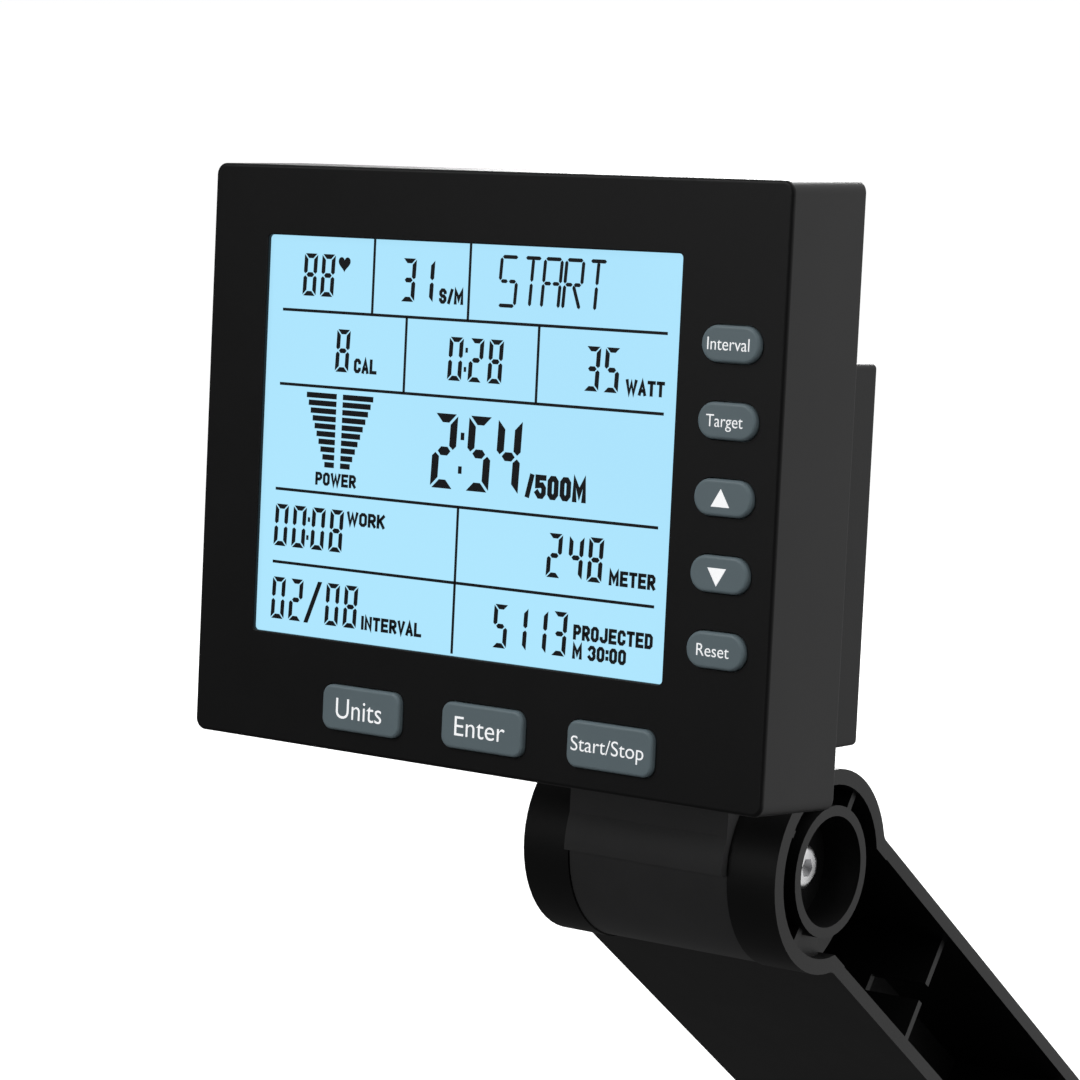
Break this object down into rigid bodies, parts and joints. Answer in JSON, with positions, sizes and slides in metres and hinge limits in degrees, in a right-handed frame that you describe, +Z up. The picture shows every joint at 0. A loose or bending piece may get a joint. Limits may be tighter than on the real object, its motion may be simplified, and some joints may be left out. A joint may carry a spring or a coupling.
{
  "type": "rowing machine console",
  "caption": "Rowing machine console with a backlit display and keys, tilting between the ears of a folding ribbed arm that bolts to the machine's frame through a steel bracket.",
  "frame": {"origin": "middle of the base bracket's underside", "axes": "+X to the right when facing the screen, +Y away from the user, +Z up out of the mounting surface"},
  "size_m": [0.1918, 0.4705, 0.5039],
  "materials": {
    "case_plastic": "fine moulded texture",
    "bracket_plastic": "satin",
    "arm_plastic": "satin",
    "key_plastic": "satin",
    "display": "clear",
    "gasket_foam": "matte",
    "light_guide": "gloss",
    "led_resin": "gloss",
    "connector_rubber": "matte",
    "board_laminate": "satin",
    "chip_resin": "matte",
    "zinc_steel": "zinc plated",
    "bright_steel": "bright",
    "cell_can": "satin",
    "bush_plastic": "matte",
    "painted_steel": "powder coated"
  },
  "bodies": {
    "base": {"base_bracket": "painted_steel", "pivot_bolt": "zinc_steel", "pivot_nut": "zinc_steel", "pivot_washers": "zinc_steel"},
    "arm": {"monitor_arm": "arm_plastic", "arm_bushes": "bush_plastic", "tilt_bolt": "bright_steel", "tilt_washer": "zinc_steel", "tilt_nut": "zinc_steel", "spacer_tube": "zinc_steel"},
    "monitor": {"front_case": "case_plastic", "rear_case": "case_plastic", "lcd_panel": "display", "lcd_gasket": "gasket_foam", "backlight_panel": "light_guide", "backlight_leds": "led_resin", "connector_strips": "connector_rubber", "circuit_board": "board_laminate", "board_screws": "zinc_steel", "tact_switches": "chip_resin", "controller_chip": "chip_resin", "buzzer": "chip_resin", "case_screws": "zinc_steel", "battery_cells": "cell_can", "battery_plate": "bright_steel", "battery_spring": "bright_steel", "sensor_socket": "chip_resin", "tilt_bracket": "bracket_plastic", "bracket_screws": "zinc_steel", "barrel_bushes": "bush_plastic"},
    "door": {"battery_door": "case_plastic"},
    "key_interval_body": {"key_interval": "key_plastic"},
    "key_target_body": {"key_target": "key_plastic"},
    "key_up_body": {"key_up": "key_plastic"},
    "key_down_body": {"key_down": "key_plastic"},
    "key_reset_body": {"key_reset": "key_plastic"},
    "key_units_body": {"key_units": "key_plastic"},
    "key_enter_body": {"key_enter": "key_plastic"},
    "key_start_stop_body": {"key_start_stop": "key_plastic"}
  },
  "joints": [
    {"name": "arm_fold", "type": "hinge", "parent": "base", "child": "arm", "pos_m": [0, 0, 0.045], "axis": [1, 0, 0], "range_deg": [-40, 30]},
    {"name": "monitor_tilt", "type": "hinge", "parent": "arm", "child": "monitor", "pos_m": [0, -0.30731, 0.30104], "axis": [1, 0, 0], "range_deg": [-45, 35]},
    {"name": "battery_door_hinge", "type": "hinge", "parent": "monitor", "child": "door", "pos_m": [0, -0.34502, 0.41084], "axis": [-1, 0, 0], "range_deg": [0, 95]},
    {"name": "key_interval_press", "type": "slide", "parent": "monitor", "child": "key_interval_body", "axis": [0, 0.9969, -0.0785], "range_m": [0, 0.0008], "stiffness_N_per_m": 1500, "springref_m": -0.0005},
    {"name": "key_target_press", "type": "slide", "parent": "monitor", "child": "key_target_body", "axis": [0, 0.9969, -0.0785], "range_m": [0, 0.0008], "stiffness_N_per_m": 1500, "springref_m": -0.0005},
    {"name": "key_up_press", "type": "slide", "parent": "monitor", "child": "key_up_body", "axis": [0, 0.9969, -0.0785], "range_m": [0, 0.0008], "stiffness_N_per_m": 1500, "springref_m": -0.0005},
    {"name": "key_down_press", "type": "slide", "parent": "monitor", "child": "key_down_body", "axis": [0, 0.9969, -0.0785], "range_m": [0, 0.0008], "stiffness_N_per_m": 1500, "springref_m": -0.0005},
    {"name": "key_reset_press", "type": "slide", "parent": "monitor", "child": "key_reset_body", "axis": [0, 0.9969, -0.0785], "range_m": [0, 0.0008], "stiffness_N_per_m": 1500, "springref_m": -0.0005},
    {"name": "key_units_press", "type": "slide", "parent": "monitor", "child": "key_units_body", "axis": [0, 0.9969, -0.0785], "range_m": [0, 0.0008], "stiffness_N_per_m": 1500, "springref_m": -0.0005},
    {"name": "key_enter_press", "type": "slide", "parent": "monitor", "child": "key_enter_body", "axis": [0, 0.9969, -0.0785], "range_m": [0, 0.0008], "stiffness_N_per_m": 1500, "springref_m": -0.0005},
    {"name": "key_start_stop_press", "type": "slide", "parent": "monitor", "child": "key_start_stop_body", "axis": [0, 0.9969, -0.0785], "range_m": [0, 0.0008], "stiffness_N_per_m": 1500, "springref_m": -0.0005}
  ]
}
